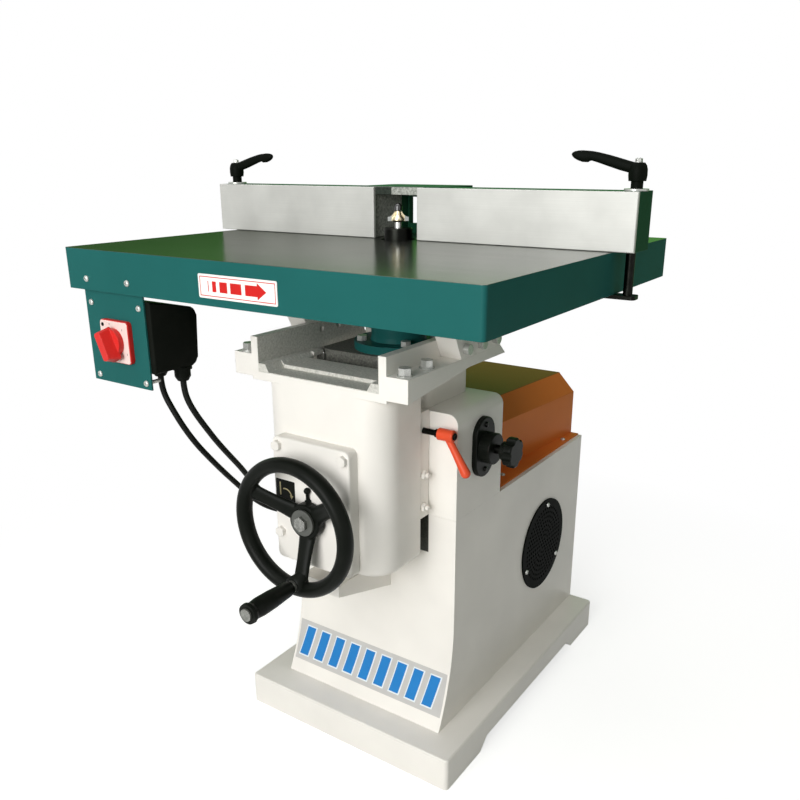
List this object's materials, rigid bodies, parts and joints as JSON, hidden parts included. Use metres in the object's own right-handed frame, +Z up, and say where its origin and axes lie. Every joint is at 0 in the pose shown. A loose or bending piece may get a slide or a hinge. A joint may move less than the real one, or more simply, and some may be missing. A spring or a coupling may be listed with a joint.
{
  "type": "spindle moulder",
  "caption": "Floor-standing spindle moulder: ground table on a rise-and-fall knee, split fence with hood, handwheel lift, belt-driven vertical cutter spindle.",
  "frame": {"origin": "floor level under the spindle axis", "axes": "+X along the fence to the operator's right, +Y away from the operator, +Z up along the spindle"},
  "size_m": [0.825, 0.8708, 1.0409],
  "materials": {
    "white_enamel": "warm white gloss enamel on cast iron and folded sheet",
    "teal_enamel": "teal hammer-free gloss enamel",
    "green_enamel": "dark green enamel on the fence casting",
    "orange_enamel": "orange enamel on folded sheet",
    "red_lever": "orange-red enamelled lever",
    "ground_iron": "surface-ground grey iron, satin",
    "satin_plate": "fine-ground satin face plate",
    "turned_steel": "turned and ground steel",
    "zinc_screws": "bright zinc-plated fasteners",
    "dark_iron": "machined iron, oiled",
    "black_oxide": "black oxide steel",
    "black_plastic": "black moulded plastic, fine texture",
    "red_plastic": "red moulded plastic",
    "switch_face": "pale plate in a red rim",
    "cable_rubber": "black rubber sheath",
    "belt_rubber": "black flat belt",
    "cutter_brass": "gilt-coated cutter body with carbide wings",
    "grille_black": "black enamelled perforated sheet",
    "motor_grey": "grey enamel on a finned motor"
  },
  "bodies": {
    "frame": {"base_frame": "white_enamel", "cabinet_shell": "white_enamel", "spindle_frame": "white_enamel", "dovetail_way": "dark_iron", "screw_bracket": "white_enamel", "elevating_screw": "turned_steel", "motor_cover": "orange_enamel", "vent_grille": "grille_black", "cabinet_screws": "zinc_screws", "spindle_housing": "teal_enamel", "housing_bolts": "zinc_screws", "spindle_bearings": "turned_steel", "motor_body": "motor_grey", "motor_plate": "dark_iron", "drive_belt": "belt_rubber", "lock_flange": "black_plastic", "cable_boots": "cable_rubber"},
    "spindle": {"spindle_shaft": "turned_steel", "spindle_pulley": "dark_iron", "spindle_chuck": "black_oxide", "cutter_bit": "cutter_brass", "cutter_nut": "black_oxide"},
    "rotor": {"motor_shaft": "turned_steel", "motor_pulley": "dark_iron"},
    "lock": {"lock_knob": "black_plastic", "lock_plunger": "turned_steel"},
    "knee": {"knee_casting": "white_enamel", "gear_cover": "white_enamel", "gear_cover_bolts": "white_enamel", "gib_strip": "dark_iron", "gib_screws": "white_enamel", "flange_bolts": "zinc_screws", "table_brackets": "white_enamel", "bracket_bolts": "zinc_screws", "table": "ground_iron", "table_ring": "ground_iron", "switch_panel": "teal_enamel", "panel_screws": "zinc_screws", "switch_box": "black_plastic", "switch_plate": "switch_face", "cable_glands": "black_plastic", "cable_a": "cable_rubber", "cable_b": "cable_rubber"},
    "handwheel": {"handwheel": "black_plastic", "handwheel_shaft": "turned_steel", "bevel_pinion": "turned_steel", "hub_bolt": "turned_steel", "handle_axle": "zinc_screws"},
    "grip": {"handle_grip": "black_plastic"},
    "gear": {"gear_nut": "dark_iron"},
    "lever": {"lock_lever": "red_lever", "lock_stud": "black_oxide"},
    "switch": {"switch_knob": "red_plastic"},
    "fence": {"fence_body": "green_enamel", "clamp_rods": "black_oxide", "clamp_washers": "zinc_screws"},
    "left_plate": {"left_fence_plate": "satin_plate"},
    "right_plate": {"right_fence_plate": "satin_plate"},
    "left_clamp": {"left_clamp_lever": "black_plastic"},
    "right_clamp": {"right_clamp_lever": "black_plastic"}
  },
  "joints": [
    {"name": "motor_spin", "type": "hinge", "parent": "frame", "child": "rotor", "pos_m": [0, 0.275, 0.5], "axis": [0, 0, 1], "continuous": true},
    {"name": "spindle_spin", "type": "hinge", "parent": "frame", "child": "spindle", "pos_m": [0, 0, 0.7], "axis": [0, 0, 1], "continuous": true},
    {"name": "spindle_lock", "type": "slide", "parent": "frame", "child": "lock", "axis": [-1, 0, 0], "range_m": [0, 0.012], "stiffness_N_per_m": 600},
    {"name": "knee_lift", "type": "slide", "parent": "frame", "child": "knee", "axis": [0, 0, 1], "range_m": [-0.01, 0.06]},
    {"name": "handwheel_turn", "type": "hinge", "parent": "knee", "child": "handwheel", "pos_m": [0, -0.29, 0.48], "axis": [0, 1, 0], "range_deg": [-903, 5405]},
    {"name": "gear_turn", "type": "hinge", "parent": "knee", "child": "gear", "pos_m": [0, -0.18, 0.5], "axis": [0, 0, 1], "range_deg": [-603, 3605]},
    {"name": "grip_spin", "type": "hinge", "parent": "handwheel", "child": "grip", "pos_m": [0.00656, -0.36, 0.38623], "axis": [0, 1, 0], "continuous": true},
    {"name": "knee_lock", "type": "hinge", "parent": "knee", "child": "lever", "pos_m": [0.16, -0.105, 0.611], "axis": [1, 0, 0], "range_deg": [-95, 15]},
    {"name": "switch_turn", "type": "hinge", "parent": "knee", "child": "switch", "pos_m": [-0.276, -0.39, 0.76], "axis": [0, 1, 0], "range_deg": [-45, 45]},
    {"name": "fence_slide", "type": "slide", "parent": "knee", "child": "fence", "axis": [0, 1, 0], "range_m": [-0.03, 0.06]},
    {"name": "left_plate_slide", "type": "slide", "parent": "fence", "child": "left_plate", "axis": [1, 0, 0], "range_m": [-0.04, 0.01]},
    {"name": "right_plate_slide", "type": "slide", "parent": "fence", "child": "right_plate", "axis": [1, 0, 0], "range_m": [-0.008, 0.04]},
    {"name": "left_clamp_turn", "type": "hinge", "parent": "fence", "child": "left_clamp", "pos_m": [-0.3985, 0.029, 1], "axis": [0, 0, 1], "range_deg": [-20, 90]},
    {"name": "right_clamp_turn", "type": "hinge", "parent": "fence", "child": "right_clamp", "pos_m": [0.3915, 0.029, 1], "axis": [0, 0, 1], "range_deg": [-20, 90]}
  ],
  "couplings": [
    {"joint": "spindle_spin", "follows": "motor_spin", "ratio": 1.7568},
    {"joint": "handwheel_turn", "follows": "knee_lift", "rad_per_m": 1570.8},
    {"joint": "gear_turn", "follows": "knee_lift", "rad_per_m": 1047.2}
  ]
}
